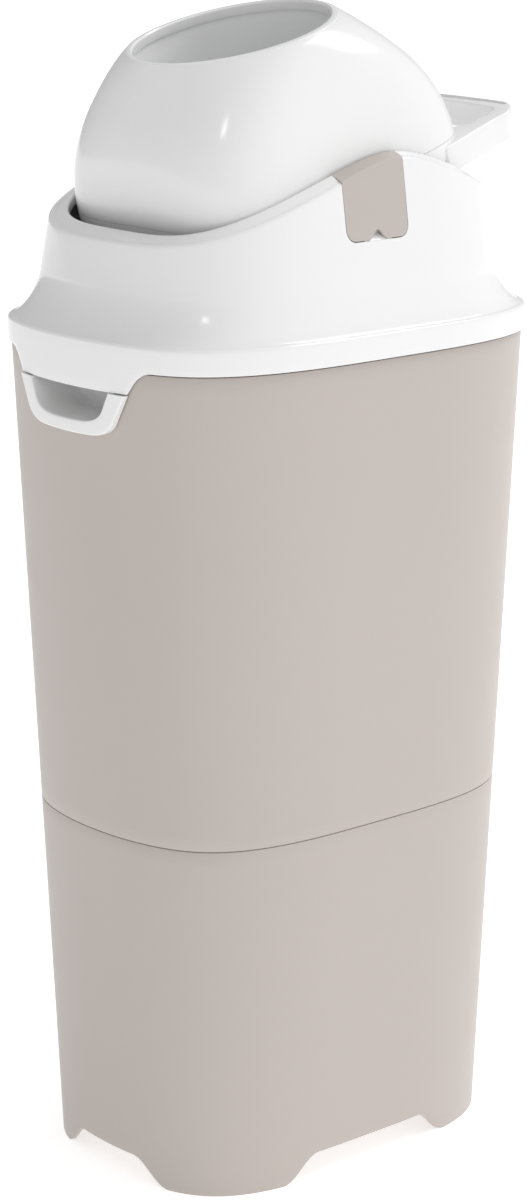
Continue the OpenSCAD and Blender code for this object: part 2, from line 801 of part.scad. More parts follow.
base_section();
upper_body();
grip_frame();
hinge_pin();
bag_ring();
lid_cover();
lid_well();
lid_gasket();
drum_wiper();
well_screws();
mirror([1, 0, 0]) bearing_cup();  // bearing_cup_left
bearing_cup();  // bearing_cup_right
mirror([1, 0, 0]) side_clip();  // clip_left
side_clip();  // clip_right
drum_upper_shell();
drum_lower_shell();
drum_tube();
mirror([1, 0, 0]) axle();  // axle_left
axle();  // axle_right
drum_screws();
handle();
handle_screws();
piston_shell();
piston_cap();
piston_weight();
piston_ring(piston_h - 14 - ring_h);  // piston_ring_upper
piston_ring(ring_low);  // piston_ring_lower
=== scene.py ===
import json
import math
import bpy
import numpy as np
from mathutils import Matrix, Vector


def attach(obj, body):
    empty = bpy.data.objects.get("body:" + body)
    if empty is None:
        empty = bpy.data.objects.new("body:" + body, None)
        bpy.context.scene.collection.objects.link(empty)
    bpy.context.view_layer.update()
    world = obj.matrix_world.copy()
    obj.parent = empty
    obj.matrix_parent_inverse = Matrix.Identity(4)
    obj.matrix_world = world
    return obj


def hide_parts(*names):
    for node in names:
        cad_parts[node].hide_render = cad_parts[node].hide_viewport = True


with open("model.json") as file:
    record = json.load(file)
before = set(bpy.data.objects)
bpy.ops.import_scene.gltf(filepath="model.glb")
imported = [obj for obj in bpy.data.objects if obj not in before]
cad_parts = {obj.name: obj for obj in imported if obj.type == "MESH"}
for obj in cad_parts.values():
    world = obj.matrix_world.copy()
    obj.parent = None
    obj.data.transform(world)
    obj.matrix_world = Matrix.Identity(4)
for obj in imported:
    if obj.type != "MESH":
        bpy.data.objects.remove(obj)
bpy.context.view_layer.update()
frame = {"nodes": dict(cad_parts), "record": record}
nodes = frame["nodes"]
print("frame loaded:", len(nodes), "nodes")

mm = 0.001                                    # shapes are worked out in millimetres

view = dict(azimuth=49.33, elevation=14.79, distance=2.0405, aimHeight=0.35456,
            lens=95.188, shiftX=-0.00414, shiftY=0.00038)
az, el = math.radians(view["azimuth"]), math.radians(view["elevation"])
towards = Vector((math.sin(az) * math.cos(el), -math.cos(az) * math.cos(el), math.sin(el)))
eyeData = bpy.data.cameras.new("eye")
eyeData.sensor_width = 36
eyeData.lens = view["lens"]
eyeData.shift_x, eyeData.shift_y = view["shiftX"], view["shiftY"]
eyeData.clip_start, eyeData.clip_end = 0.1, 30
eye = bpy.data.objects.new("eye", eyeData)
eye.location = Vector((0, 0, view["aimHeight"])) + towards * view["distance"]
eye.rotation_mode = "QUATERNION"
eye.rotation_quaternion = (-towards).to_track_quat("-Z", "Y")
bpy.context.scene.collection.objects.link(eye)
bpy.context.scene.camera = eye
print("camera ready")


def planXY(a, b, n, th, yMid=0.0):
    # point of a superellipse at polar angle th: r = (|cos th / a|^n + |sin th / b|^n)^(-1/n)
    c, s = np.cos(th), np.sin(th)
    r = ((np.abs(c) / a) ** n + (np.abs(s) / b) ** n) ** (-1.0 / n)
    return r * c, r * s + yMid


def evenAngles(a, b, n, count):
    # polar angles at equal steps of arc length round a superellipse
    th = np.linspace(0, 2 * np.pi, 7201)
    x, y = planXY(a, b, n, th)
    run = np.concatenate([[0], np.cumsum(np.hypot(np.diff(x), np.diff(y)))])
    return np.interp(np.linspace(0, run[-1], count, endpoint=False), run, th)


def ring(a, b, n, z, th, yMid=0.0):
    # one closed ring of points at height z, which may differ from column to column
    x, y = planXY(a, b, n, th, yMid)
    return np.stack([x, y, np.broadcast_to(z, x.shape)], 1)


def roundEdge(steps):
    # a quarter turn as (1 - cosine, 1 - sine) pairs, to be multiplied by the radius of an edge
    t = np.linspace(0, np.pi / 2, steps)
    return list(zip(1 - np.cos(t), 1 - np.sin(t)))


def smallEdge(size, share=0.3):
    # a small edge in three (in, down) steps; the middle one lies a share of the size from the corner
    return (0, size), (share * size, share * size), (size, 0)


def loftShell(rings, ends="caps"):
    # quads between neighbouring rings; the ends are fanned to their centres, joined, or left open
    rings = np.asarray(rings, float)
    k, m = rings.shape[:2]
    points = rings.reshape(-1, 3)
    rows = np.arange(k if ends == "loop" else k - 1)[:, None]
    cols = np.arange(m)[None, :]
    low, high, nxt = rows * m, ((rows + 1) % k) * m, (cols + 1) % m
    faces = [np.stack([low + cols, low + nxt, high + nxt, high + cols], -1).reshape(-1, 4)]
    if ends == "caps":
        i = np.arange(m)
        for first, turn in ((0, 1), ((k - 1) * m, -1)):
            hub = len(points)
            points = np.vstack([points, points[first:first + m].mean(0)])
            fan = np.stack([np.full(m, hub), first + (i + 1) % m, first + i], -1)
            faces.append(fan[:, ::turn])
    return points, faces


def joined(*shells):
    # several shells as one mesh
    points, faces, base = [], [], 0
    for p, fs in shells:
        points.append(p)
        faces += [f + base for f in fs]
        base += len(p)
    return np.vstack(points), faces


def outward(shell):
    # turns a closed shell the right way out by the sign of its volume: the sum of a . (b x c)
    # over the three corners of every triangle
    points, faces = shell
    volume = 0.0
    for f in faces:
        for j in range(1, f.shape[1] - 1):
            a, b, c = points[f[:, 0]], points[f[:, j]], points[f[:, j + 1]]
            volume += np.einsum("ij,ij->i", a, np.cross(b, c)).sum()
    return (points, [f[:, ::-1] for f in faces]) if volume < 0 else shell


def boxShell(x0, x1, y0, y1, z0, z1):
    # box along the axes: one rectangle at two heights
    corners = np.array([[x0, y0], [x1, y0], [x1, y1], [x0, y1]], float)
    return outward(loftShell([np.c_[corners, np.full(4, z)] for z in (z0, z1)]))


def rodShell(r, x0, x1, y, z, count=64, edge=0.5):
    # cylinder along X: circles of radius r, smaller by the edge at both ends
    t = np.linspace(0, 2 * np.pi, count, endpoint=False)
    steps = [(x0 + along, r - less) for less, along in smallEdge(edge)[::-1]]
    steps += [(x1 - along, r - less) for less, along in smallEdge(edge)]
    return outward(loftShell([np.stack([np.full(count, x), y + q * np.cos(t), z + q * np.sin(t)], 1)
                              for x, q in steps]))


def postShell(r, x, y, z0, z1, count=24):
    # cylinder along Z: one circle at two heights
    t = np.linspace(0, 2 * np.pi, count, endpoint=False)
    circle = np.stack([x + r * np.cos(t), y + r * np.sin(t)], 1)
    return outward(loftShell([np.c_[circle, np.full(count, z)] for z in (z0, z1)]))


def sidePrism(outline, x0, x1):
    # outline in Y and Z carried along X
    return outward(loftShell([np.c_[np.full(len(outline), x), outline] for x in (x0, x1)]))


def frontPrism(outline, y0, y1):
    # outline in X and Z carried along Y
    return outward(loftShell([np.stack([outline[:, 0], np.full(len(outline), y), outline[:, 1]], 1)
                              for y in (y0, y1)]))


def resample(path, count):
    # points at equal steps along an open path
    path = np.asarray(path, float)
    run = np.concatenate([[0], np.cumsum(np.linalg.norm(np.diff(path, axis=0), axis=1))])
    at = np.linspace(0, run[-1], count)
    return np.stack([np.interp(at, run, path[:, k]) for k in range(path.shape[1])], 1)


def makeObject(name, shell, sharp=38):
    # mesh object from points in millimetres and face arrays, shaded smooth up to the sharp angle
    points, faces = shell
    mesh = bpy.data.meshes.new(name)
    corners = np.concatenate([f.ravel() for f in faces]).astype(np.int32)
    counts = np.concatenate([np.full(len(f), f.shape[1]) for f in faces])
    mesh.vertices.add(len(points))
    mesh.vertices.foreach_set("co", (points * mm).astype(np.float32).ravel())
    mesh.loops.add(len(corners))
    mesh.loops.foreach_set("vertex_index", corners)
    mesh.polygons.add(len(counts))
    mesh.polygons.foreach_set("loop_start", np.concatenate([[0], np.cumsum(counts)[:-1]]).astype(np.int32))
    mesh.update(calc_edges=True)
    mesh.validate()
    smooth(mesh, sharp)
    thing = bpy.data.objects.new(name, mesh)
    bpy.context.scene.collection.objects.link(thing)
    return thing


def smooth(mesh, sharp):
    # smooth shading, with edges steeper than the angle kept crisp
    mesh.polygons.foreach_set("use_smooth", np.ones(len(mesh.polygons), bool))
    mesh.set_sharp_from_angle(angle=math.radians(sharp))


def settle(thing, sharp=38):
    # applies the modifiers of a piece to its mesh
    graph = bpy.context.evaluated_depsgraph_get()
    mesh = bpy.data.meshes.new_from_object(thing.evaluated_get(graph))
    thing.modifiers.clear()
    thing.data = mesh
    smooth(mesh, sharp)


def cutAway(thing, shells, sharp=38):
    # takes closed shells out of a piece
    for i, shell in enumerate(shells):
        cutter = makeObject("cutter%d" % i, shell)
        cut = thing.modifiers.new("cut", "BOOLEAN")
        cut.operation, cut.solver, cut.object = "DIFFERENCE", "EXACT", cutter
        settle(thing, sharp)
        old = cutter.data
        bpy.data.objects.remove(cutter)
        bpy.data.meshes.remove(old)


def softenEdges(thing, width, angle):
    # two-step bevel of the given width on edges steeper than the angle
    edge = thing.modifiers.new("edge", "BEVEL")
    edge.width, edge.segments, edge.limit_method = width * mm, 2, "ANGLE"
    edge.angle_limit = math.radians(angle)
    edge.harden_normals = False
    settle(thing)


def dress(thing, finish, slotName, bodyName, *stands):
    # material, slot name (not used), body that carries the piece, and the nodes it stands in for
    thing.data.materials.clear()
    thing.data.materials.append(finish)
    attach(thing, bodyName)
    if stands:
        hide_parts(*stands)
    print("made", thing.name, len(thing.data.polygons), "faces")


surface = dict(driftScale=7.0, driftDetail=3.0, driftFrom=0.3, driftTo=0.7, patchScale=45.0, patchDetail=4.0,
               grainDetail=2.0, grainDeep=0.0002, brushStretch=14)


def finishOf(name, colour, rough, grain=0.0, grainSize=1400.0, drift=0.03, spread=0.06, metal=0.0,
             brushed=False):
    # moulded surface on object coordinates: the colour goes with slow noise from (1 - drift) to
    # (1 + drift / 2) of itself, the roughness with patchy noise by the spread, and a fine grain as bump
    mat = bpy.data.materials.new(name)
    mat.use_nodes = True
    tree = mat.node_tree
    shader = tree.nodes["Principled BSDF"]
    shader.inputs["Metallic"].default_value = metal
    place = tree.nodes.new("ShaderNodeTexCoord")
    stretch = tree.nodes.new("ShaderNodeMapping")
    stretch.inputs["Scale"].default_value = (1, surface["brushStretch"] if brushed else 1, 1)
    tree.links.new(place.outputs["Object"], stretch.inputs["Vector"])

    slow = tree.nodes.new("ShaderNodeTexNoise")
    slow.inputs["Scale"].default_value = surface["driftScale"]
    slow.inputs["Detail"].default_value = surface["driftDetail"]
    tree.links.new(stretch.outputs["Vector"], slow.inputs["Vector"])
    tint = tree.nodes.new("ShaderNodeValToRGB")
    dark, pale = tint.color_ramp.elements
    dark.position, pale.position = surface["driftFrom"], surface["driftTo"]
    dark.color = tuple(c * (1 - drift) for c in colour) + (1,)
    pale.color = tuple(min(1, c * (1 + drift * 0.5)) for c in colour) + (1,)
    tree.links.new(slow.outputs["Fac"], tint.inputs["Fac"])
    tree.links.new(tint.outputs["Color"], shader.inputs["Base Color"])

    patch = tree.nodes.new("ShaderNodeTexNoise")
    patch.inputs["Scale"].default_value = surface["patchScale"]
    patch.inputs["Detail"].default_value = surface["patchDetail"]
    tree.links.new(stretch.outputs["Vector"], patch.inputs["Vector"])
    gloss = tree.nodes.new("ShaderNodeMapRange")
    gloss.inputs["To Min"].default_value = max(0.02, rough - spread)
    gloss.inputs["To Max"].default_value = rough + spread
    tree.links.new(patch.outputs["Fac"], gloss.inputs["Value"])
    tree.links.new(gloss.outputs["Result"], shader.inputs["Roughness"])

    if grain > 0:
        fine = tree.nodes.new("ShaderNodeTexNoise")
        fine.inputs["Scale"].default_value = grainSize
        fine.inputs["Detail"].default_value = surface["grainDetail"]
        tree.links.new(stretch.outputs["Vector"], fine.inputs["Vector"])
        bump = tree.nodes.new("ShaderNodeBump")
        bump.inputs["Strength"].default_value = grain
        bump.inputs["Distance"].default_value = surface["grainDeep"]
        tree.links.new(fine.outputs["Fac"], bump.inputs["Height"])
        tree.links.new(bump.outputs["Normal"], shader.inputs["Normal"])
    return mat


taupe = finishOf("taupePlastic", (0.505, 0.452, 0.422), 0.42, grain=0.16, grainSize=1500, drift=0.012)
white = finishOf("whitePlastic", (0.84, 0.84, 0.84), 0.15, grain=0.02, grainSize=300, drift=0.008,
                 spread=0.03)
grey = finishOf("greyPlastic", (0.84, 0.842, 0.845), 0.36, grain=0.08, grainSize=1100, drift=0.015)
bearing = finishOf("bearingPlastic", (0.66, 0.66, 0.63), 0.3, grain=0.05, drift=0.02)
rubber = finishOf("sealRubber", (0.055, 0.056, 0.058), 0.62, grain=0.25, grainSize=900, drift=0.1)
# the drum's wiper is a real part, but its pale grey is painted light: it stands in for the dark seal rubber
# so the shaded gap between the drum and the lid's opening looks lighter
gapLighteningWiper = finishOf("gapLighteningPaleRubber", (0.62, 0.62, 0.62), 0.55, grain=0.2, grainSize=900, drift=0.03)
steel = finishOf("zincSteel", (0.58, 0.59, 0.61), 0.3, grain=0.1, grainSize=600, drift=0.06, metal=1.0,
                 brushed=True)
finishes = dict(taupe_plastic=taupe, white_plastic=white, grey_plastic=grey, bearing_plastic=bearing,
                seal_rubber=rubber, steel=steel)
slotOf = {row["node"]: row["material_slot"] for row in frame["record"]["subparts"]}
for nodeName, thing in nodes.items():
    # the wiper takes the pale rubber, painted light in the gap round the drum
    finish = gapLighteningWiper if nodeName == "drum_wiper" else finishes[slotOf[nodeName]]
    if not thing.data.materials:
        thing.data.materials.append(finish)
    for i in range(len(thing.data.materials)):
        thing.data.materials[i] = finish
print("finishes ready")

# A is always a half width (across, X) and B a half depth (front to back, Y)
body = dict(floorA=99.45, topA=117.65, floorB=134.85, topB=156.45, high=530.0, power=3.35, wall=3.0,
            seam=233.0, seamGap=0.2, seamEdge=0.4, columns=480)
bow = dict(amount=1.9, wave=0.6, fade=0.75, half=119.55, start=36.0, run=60.0)
bodyTh = evenAngles(body["topA"], body["topB"], body["power"], body["columns"])


def halfA(z):
    # half width at height z, a straight line from the floor to the top
    return body["floorA"] + (body["topA"] - body["floorA"]) * z / body["high"]


def halfB(z):
    # half depth at height z, in the same way
    return body["floorB"] + (body["topB"] - body["floorB"]) * z / body["high"]


def bowed(points):
    # fuller in the middle of the front and softer towards its corners, with the back left straight:
    # -y grows by amount * cos(pi t / wave) * exp(-(t / fade)^4), with t = |x| over the skirt's half width
    t = np.abs(points[..., 0]) / bow["half"]
    swell = bow["amount"] * np.cos(np.pi * t / bow["wave"]) * np.exp(-(t / bow["fade"]) ** 4)
    out = np.array(points, float)
    out[..., 1] -= swell * np.clip((-out[..., 1] - bow["start"]) / bow["run"], 0, 1)
    return out


def bodyRing(z, inset, th=bodyTh):
    # the body's plan at height z, moved in by the inset
    return bowed(ring(halfA(z) - inset, halfB(z) - inset, body["power"], z, th))


# lower section: floor, arches between the feet, and the spigot that the upper section sits over
base = dict(edge=0.8, under=19.0, underEdge=((0.4, 0), (0.1, 0.1), (0, 0.3)),
            floorTop=22.0, floorRound=2.0, floorEdge=0.6,
            arch=17.5, archHalfY=43.0, archHalfX=25.0, archRun=28.0,
            spigotIn=3.2, spigotWall=2.4, spigotTop=249.0, spigotLow=215.0, spigotFoot=207.0)


def archLift(x, y):
    # height of the lower edge: a flat top with cosine ends, on the sides by y and on the ends by x
    def bump(d, half):
        # cosine step from 0 up to the arch as the distance d comes within the half length
        s = np.clip((half + base["archRun"] - np.abs(d)) / base["archRun"], 0, 1)
        return base["arch"] * (1 - np.cos(np.pi * s)) / 2
    return np.maximum(bump(y, base["archHalfY"]), bump(x, base["archHalfX"]))


def makeBase():
    # one loft: under the floor, down and round the foot, up the side, over the seam and the spigot,
    # and down the inside to the floor
    b, wall, e = base, body["wall"], base["edge"]
    topZ = body["seam"] - body["seamGap"]
    edge = smallEdge(body["seamEdge"])
    x, y = planXY(halfA(0), halfB(0), body["power"], bodyTh)
    foot = archLift(x, y) + e
    rings = [bodyRing(b["under"] - down, wall + step) for step, down in b["underEdge"]]
    inside = b["under"] - b["underEdge"][-1][1]
    rings += [bodyRing(inside + (foot - inside) * t, wall) for t in (0.35, 0.7, 1)]
    rings += [bodyRing(foot - e + e * s, wall - e * c) for c, s in roundEdge(5)]
    rings += [bodyRing(foot - e + e * c, e * s) for c, s in roundEdge(5)]
    side = topZ - body["seamEdge"]
    rings += [bodyRing(foot + (side - foot) * t, 0) for t in np.linspace(0.02, 1, 26)]
    rings += [bodyRing(topZ - down, step) for step, down in edge[1:]]
    spigot = b["spigotIn"] + b["spigotWall"]
    for z, inset in ((topZ, b["spigotIn"]), (b["spigotTop"], b["spigotIn"]), (b["spigotTop"], spigot),
                     (b["spigotLow"], spigot), (b["spigotFoot"], wall)):
        rings.append(bodyRing(z, inset))
    low = b["floorTop"] + b["floorRound"]
    rings += [bodyRing(b["spigotFoot"] + (low - b["spigotFoot"]) * t, wall) for t in (0.33, 0.66, 1)]
    rings += [bodyRing(b["floorTop"] + b["floorEdge"], wall + b["floorEdge"]),
              bodyRing(b["floorTop"], wall + b["floorRound"])]
    thing = makeObject("baseShell", outward(loftShell(rings)))
    dress(thing, taupe, "taupe_plastic", "bin", "base_section")


makeBase()

# white frame and scoop of the finger recess
grip = dict(pocketTop=521.0, pocketHalf=40.0, pocketLean=0.4545, low=495.8, sag=0.0013, up=8.5, side=15.0,
            frameTop=520.0, frameHalf=53.32, frameLean=0.53, frameLow=487.6, frameSag=0.0011, frameUp=9.5,
            frameSide=13.0, top=515.4, face=-161.0, faceBow=0.0018, edge=1.1, wall=2.4, gap=0.3, sunk=0.1,
            startY=-150.6, endY=-127.6, bowl=4.0, cutFrom=-190.0, cutTo=-100.0, stations=140)


def bowedCup(half, lean, top, low, sag, up, side, steps=16):
    # straight leaning sides and a lower edge that rises with x squared; each corner is a parabola
    # whose ends lie "up" along the side and "side" along the lower edge
    foot = half - lean * (top - low)
    corner = np.array([foot, low + sag * foot ** 2])
    first = np.array([foot + lean * up, low + up])
    last = np.array([foot - side, low + sag * (foot - side) ** 2])
    t = np.linspace(0, 1, steps)[:, None]
    turn = (1 - t) ** 2 * first + 2 * t * (1 - t) * corner + t ** 2 * last
    x = np.linspace(last[0], -last[0], 13)[1:-1]
    right = np.vstack([[[half, top]], turn])
    return np.vstack([right, np.stack([x, low + sag * x ** 2], 1), (right * [-1, 1])[::-1]])[::-1]


def pocket(grow):
    # outline of the finger pocket, moved out by grow
    g = grip
    return bowedCup(g["pocketHalf"] + grow, g["pocketLean"], g["pocketTop"] + grow, g["low"] - grow,
                    g["sag"], g["up"] + grow, g["side"] + grow)


def trimTop(path, top):
    # cuts the two ends of a cup outline back to one height
    path = np.array(path, float)
    for end, nxt in ((0, 1), (-1, -2)):
        t = (top - path[nxt, 1]) / (path[end, 1] - path[nxt, 1])
        path[end] = path[nxt] + (path[end] - path[nxt]) * t
    return path


# lid hinge at the back: pin axis, centre knuckle, notch and pocket in the body, arms on the lid
hinge = dict(y=149.35, z=522.0, half=42.0, knuckle=6.0, middle=13.0, play=0.6,
             webFront=4.0, webBack=3.0, webLow=11.0, armFront=1.5, armBack=6.1, armTop=1.5,
             notchFront=10.0, notchBack=20.0, notchLow=10.5, notchTop=600.0, side=45.0, wall=3.0,
             deep=13.0, shelf=14.0, boss=4.5, bossStart=0.5, bossEnd=7.0)


def pair(near, far):
    # the left and the right span between two distances from the middle plane, each as (x0, x1)
    return (-far, -near), (near, far)


def makeHingePocket(top):
    # two walls and a floor round the notch, the centre knuckle on its web, and the bosses of the pin
    h = hinge
    back, low = h["y"] - h["deep"], h["z"] - h["notchLow"] - h["wall"]
    near, far, floorZ = back + h["wall"], back + h["shelf"], low + h["wall"]
    shells = [boxShell(-h["side"], h["side"], back, near, low, top),
              boxShell(-h["side"], h["side"], near, far, low, floorZ),
              rodShell(h["knuckle"], -h["middle"], h["middle"], h["y"], h["z"]),
              boxShell(-h["middle"], h["middle"], h["y"] - h["webFront"], h["y"] + h["webBack"],
                       h["z"] - h["webLow"], h["z"])]
    shells += [boxShell(x0, x1, near, far, floorZ, top) for x0, x1 in pair(h["half"], h["side"])]
    bosses = pair(h["half"] + h["bossStart"], h["half"] + h["bossEnd"])
    shells += [rodShell(h["boss"], x0, x1, h["y"], h["z"]) for x0, x1 in bosses]
    dress(makeObject("hingePocket", joined(*shells)), taupe, "taupe_plastic", "bin")


upper = dict(shoulder=0.8, neckIn=2.6, neckWall=2.8, neckHigh=11.0, neckEdge=0.6, neckRound=0.3,
             shelfDown=3.0, shelfWide=9.0, shelfEdge=0.4, shelfThick=3.0, flareDown=17.0, plainTop=380.0)


def makeUpper():
    # one closed loft: seam, side, shoulder, neck, the shelf that the bag ring lies on, and the inside;
    # the finger pocket and the notch of the hinge are cut out of it
    u, h, wall, high = upper, hinge, body["wall"], body["high"]
    seam, shoulder, top = body["seam"] + body["seamGap"], high - u["shoulder"], high + u["neckHigh"]
    neck, inner = u["neckIn"], u["neckIn"] + u["neckWall"]
    shelf, shelfZ = inner + u["shelfWide"], high - u["shelfDown"]
    edge, lip = smallEdge(body["seamEdge"]), smallEdge(u["neckEdge"], 1 / 3)
    rings = [bodyRing(seam + down, step) for step, down in edge[::-1]]
    low, side = seam + body["seamEdge"], shoulder - body["seamEdge"]
    rings += [bodyRing(low + (side - low) * t, 0) for t in np.linspace(0.03, 1, 30)]
    rings += [bodyRing(shoulder - down, step) for step, down in edge[1:]]
    rings += [bodyRing(shoulder, neck - u["neckRound"]), bodyRing(shoulder + u["neckRound"], neck)]
    rings += [bodyRing(top - down, neck + step) for step, down in lip]
    rings += [bodyRing(top - down, inner - step) for step, down in lip[::-1]]
    rings += [bodyRing(z, inset) for z, inset in (
        (shelfZ, inner), (shelfZ, shelf - u["shelfEdge"]), (shelfZ - u["shelfEdge"], shelf),
        (shelfZ - u["shelfThick"], shelf), (high - u["flareDown"], wall), (u["plainTop"], wall),
        (seam, wall))]
    thing = makeObject("upperShell", outward(loftShell(rings, "loop")))
    notch = boxShell(-h["half"], h["half"], h["y"] - h["notchFront"], h["y"] + h["notchBack"],
                     h["z"] - h["notchLow"], h["notchTop"])
    window = frontPrism(pocket(grip["wall"] + grip["gap"]), grip["cutFrom"], grip["cutTo"])
    cutAway(thing, [window, notch])
    dress(thing, taupe, "taupe_plastic", "bin", "upper_body")
    makeHingePocket(top)


makeUpper()


def frontY(x):
    # the frame's face, bowed with x squared a little more than the body behind it
    return grip["face"] + grip["faceBow"] * x * x


def behindY(x, z):
    # the body's front wall: y of its superellipse at x and height z
    return -halfB(z) * (1 - (np.abs(x) / halfA(z)) ** body["power"]) ** (1 / body["power"])


def frameShell():
    # profile carried along the U of the recess: at each station it runs from the wall over the outer
    # edge, across the face, over the inner edge and back into the wall
    g, r, count = grip, grip["edge"], grip["stations"]
    outer = bowedCup(g["frameHalf"], g["frameLean"], g["frameTop"], g["frameLow"], g["frameSag"],
                     g["frameUp"], g["frameSide"])
    outer = resample(trimTop(outer, g["top"]), count)
    inner = resample(trimTop(pocket(0), g["top"]), count)
    wide = np.linalg.norm(inner - outer, axis=1, keepdims=True)
    step = (inner - outer) / wide                 # from the outer edge towards the opening

    def line(start, shift, sink=None, y=None):
        # one line of points along the U, at a depth behind the face, at one y, or in the body's wall
        p = start + step * shift
        if y is None:
            y = behindY(p[:, 0], p[:, 1]) - g["sunk"] if sink is None else frontY(p[:, 0]) + sink
        return np.stack([p[:, 0], np.broadcast_to(y, count), p[:, 1]], 1)

    lines = [line(outer, 0)]
    lines += [line(outer, r * c, r * s) for c, s in roundEdge(6)]
    lines += [line(outer, r + (wide - 2 * r) * t, 0) for t in (0.25, 0.5, 0.75)]
    lines += [line(inner, -r * s, r * c) for c, s in roundEdge(6)]
    lines += [line(inner, 0, y=g["startY"]), line(inner, -g["wall"], y=g["startY"]),
              line(inner, -g["wall"])]
    return outward(loftShell(np.stack(lines, 1)))


def scoopShell():
    # the pocket's outline carried inwards, with a round back edge, and a plain outside
    g = grip
    closed = resample(np.vstack([pocket(0), pocket(0)[:1]]), 121)[:-1]
    away = closed - closed.mean(0)
    away /= np.linalg.norm(away, axis=1, keepdims=True)

    def loopAt(grow, y):
        # the outline moved away from its centre by grow, at depth y
        p = closed + away * grow
        return np.stack([p[:, 0], np.full(len(p), y), p[:, 1]], 1)

    turn = g["endY"] - g["bowl"]
    rings = [loopAt(0, g["startY"] + (turn - g["startY"]) * t) for t in (0, 0.5, 1)]
    rings += [loopAt(-g["bowl"] * c, g["endY"] - g["bowl"] * s) for c, s in roundEdge(7)]
    outside = [loopAt(g["wall"], g["startY"]), loopAt(g["wall"], g["endY"] + g["wall"])]
    return outward(loftShell(rings[::-1] + outside))


gripFrame = makeObject("gripFrame", joined(frameShell(), scoopShell()))
dress(gripFrame, white, "white_plastic", "bin", "grip_frame")
print("bin done")

# drum: half width a, turning radius r, mouths at both ends of a tube tilted back by tilt degrees
drum = dict(a=88.5, r=105.0, mouth=91.0, mouthR=62.75, power=4.7, wall=2.6, shift=5.0, columns=320,
            pivotY=-7.5, pivotZ=630.0, tilt=14.5, narrowing=1.7, rounding=1.8, centring=1.3,
            lip=1.75, lipHigh=1.0, lipIn=0.95, ledge=0.4, recess=0.3, socket=0.2, socketDeep=8.1,
            inside=(73, 54, 30, 15, 0.06), tubeR=63.6, tubeT=2.2, tubeShort=6.6, tubeGap=0.1)
lipR = drum["mouthR"] + drum["lip"]
swingR = math.hypot(drum["mouth"], lipR)                # how far the lip reaches from the pivot
# lid, from the skirt up: flange, hollow fillet, leaning wall, arched rim, domed shoulder, opening
lid = dict(skirtA=119.55, skirtB=158.35, skirt=1.5, skirtEdge=0.5, footIn=0.3, flange=546.0,
           flangeDown=2.4, flangeIn=2.2, fillet=26.0, hollow=1.35, wallA=106.0, wallB=131.0, lean=0.15,
           ref=600.0, wall=2.6, rimCrest=647.0, crestRound=9.0, rimY=20.0, slope=0.36, rimEdge=2.4,
           rise=2.5, swell=0.5, sideGap=0.9, swingGap=0.6, openPower=4.7, frontPower=3.6, openEdge=2.0,
           collar=7.0, collarWall=2.2, collarEdge=0.4, collarChamfer=0.5, underRim=0.4, underBrow=0.6,
           seat=6.6, columns=560)
# tab at the front of the skirt, posts for the well's screws, and the side clips with their slots
tab = dict(half=51.0, drop=14.0, ramp=6.0, rampUp=8.5, ease=10.0)
post = dict(r=3.0, low=590.2, under=3.0, frontX=20.0, frontOut=6.2, backX=44.0, backOut=9.0, sideX=94.6,
            sideY=(52.0, -66.0))
clip = dict(wide=50.0, low=600.0, thick=2.0, gap=0.6, y=-4.5, corner=7.0, edge=0.7, overlap=0.9,
            soft=0.25, draft=0.5, draftRun=40.0, notchHalf=7.5, notchHigh=5.8, windowTop=720.0,
            windowIn=6.0, windowOut=130.0, rampHalf=11.0,
            ramp=((-0.3, -0.5), (-4.6, 3.5), (-4.8, 9), (-6, 9), (-6, -2), (-2, -2)))
openA, openB = drum["a"] + lid["sideGap"], swingR + lid["swingGap"]
lidTh = evenAngles(lid["skirtA"], lid["skirtB"], body["power"], lid["columns"])


def rimZ(y):
    # height of the rim: a hyperbola, its crest rounded and its flanks falling away at a steady slope
    r = lid["crestRound"]
    return lid["rimCrest"] + r - np.sqrt(r ** 2 + (lid["slope"] * (y - lid["rimY"])) ** 2)


def browZ(y):
    # height of the opening's edge: the rim raised by a parabola that is highest over the pivot
    return rimZ(y) + lid["rise"] * (1 - ((y - drum["pivotY"]) / openB) ** 2)


def lidA(z):
    # half width of the wall, which leans in steadily with height
    return lid["wallA"] - lid["lean"] * (z - lid["ref"])


def lidB(z):
    # half depth of the wall, in the same way
    return lid["wallB"] - lid["lean"] * (z - lid["ref"])


def wallX(y, z):
    # half width of the lid's wall at depth y and height z
    return lidA(z) * (1 - (np.abs(y) / lidB(z)) ** body["power"]) ** (1 / body["power"])


def skirtLow(x, y):
    # lower edge of the skirt: level, and at the front a tab with a straight ramp at each side
    # that a quarter cosine eases into the level edge
    d = np.abs(x) - tab["half"]
    level, foot = body["high"], body["high"] - tab["drop"]
    t = np.clip(1 - (d - tab["ramp"]) / tab["ease"], 0, 1)
    ease = level - (tab["drop"] - tab["rampUp"]) * (1 - np.cos(np.pi / 2 * t))
    z = np.where(d < tab["ramp"], foot + np.maximum(d, 0) / tab["ramp"] * tab["rampUp"], ease)
    return np.where(y < 0, z, level)


def lidRing(z, a, b, inset):
    # the lid's plan at height z: a superellipse a by b, moved in by the inset
    return bowed(ring(a - inset, b - inset, body["power"], z, lidTh))


def rimRing(drop, inset):
    # ring on the leaning wall that follows the arched rim at a drop below it
    z = rimZ(planXY(lid["wallA"], lid["wallB"], body["power"], lidTh)[1]) - drop
    return lidRing(z, lidA(z), lidB(z), inset)


def browRing(drop, grow):
    # ring round the opening; its reach to the front and back is the chord of the swing circle
    # at that height, sqrt(openB^2 - (z - pivot)^2), and its front corners are rounder
    power = np.where(np.sin(lidTh) < 0, lid["frontPower"], lid["openPower"])
    z = browZ(planXY(openA, openB, power, lidTh, drum["pivotY"])[1])
    reach = np.sqrt(openB ** 2 - (z - drum["pivotZ"]) ** 2)
    return ring(openA + grow, reach + grow, power, z - drop, lidTh, drum["pivotY"])


